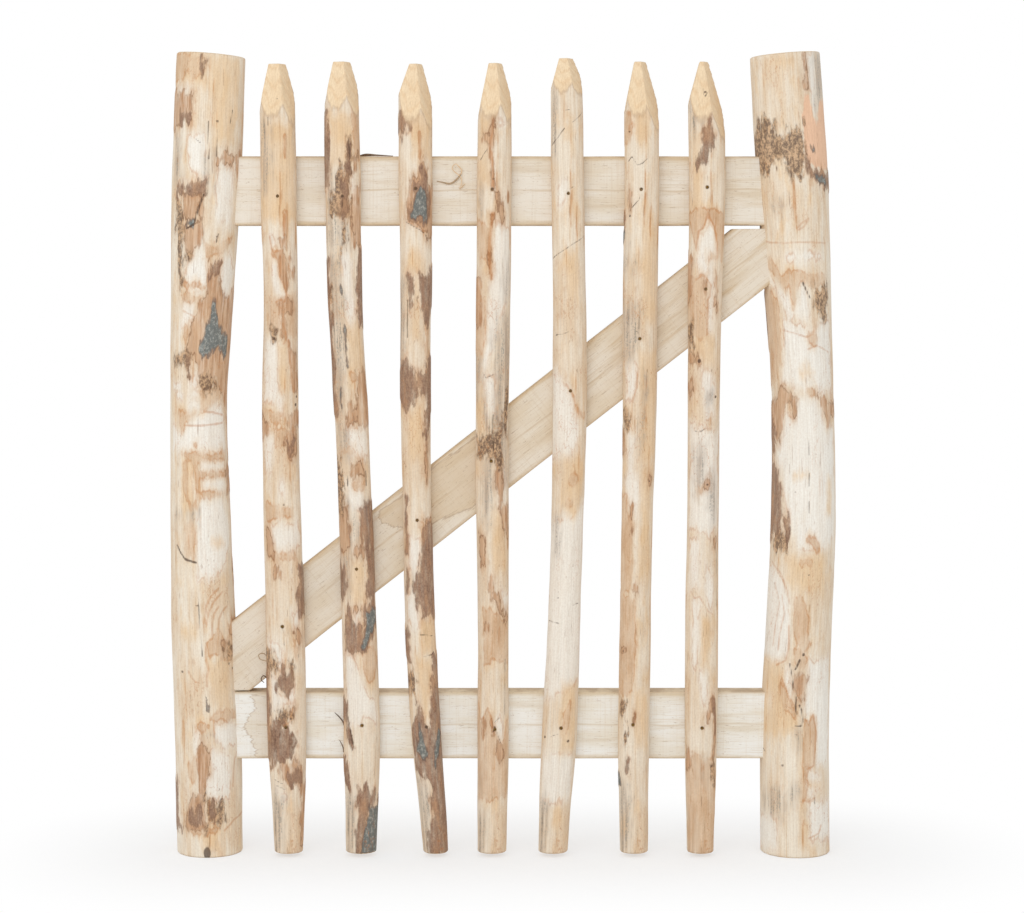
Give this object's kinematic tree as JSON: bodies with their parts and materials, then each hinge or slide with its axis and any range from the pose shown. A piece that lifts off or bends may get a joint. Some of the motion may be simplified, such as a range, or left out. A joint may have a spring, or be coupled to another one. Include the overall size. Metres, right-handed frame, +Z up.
{
  "type": "rustic wooden picket gate leaf",
  "caption": "Rustic picket gate leaf of peeled chestnut: crooked round posts, sawn rails, a diagonal brace and pointed half-round pickets.",
  "frame": {"origin": "middle of the left post's flat foot", "axes": "+X to the right across the front towards the right post, +Z up, the picketed front faces -Y"},
  "size_m": [1.0009, 0.1103, 1.2],
  "materials": {
    "post_wood": "peeled round wood with rests of bark, matt",
    "sawn_board": "rough sawn, matt",
    "picket_wood": "peeled half-round wood with rests of bark, matt",
    "screw_metal": "yellow plated, dull"
  },
  "bodies": {
    "root": {"left_post": "post_wood", "right_post": "post_wood", "top_rail": "sawn_board", "bottom_rail": "sawn_board", "brace": "sawn_board", "picket_1": "picket_wood", "picket_2": "picket_wood", "picket_3": "picket_wood", "picket_4": "picket_wood", "picket_5": "picket_wood", "picket_6": "picket_wood", "picket_7": "picket_wood"}
  },
  "joints": []
}
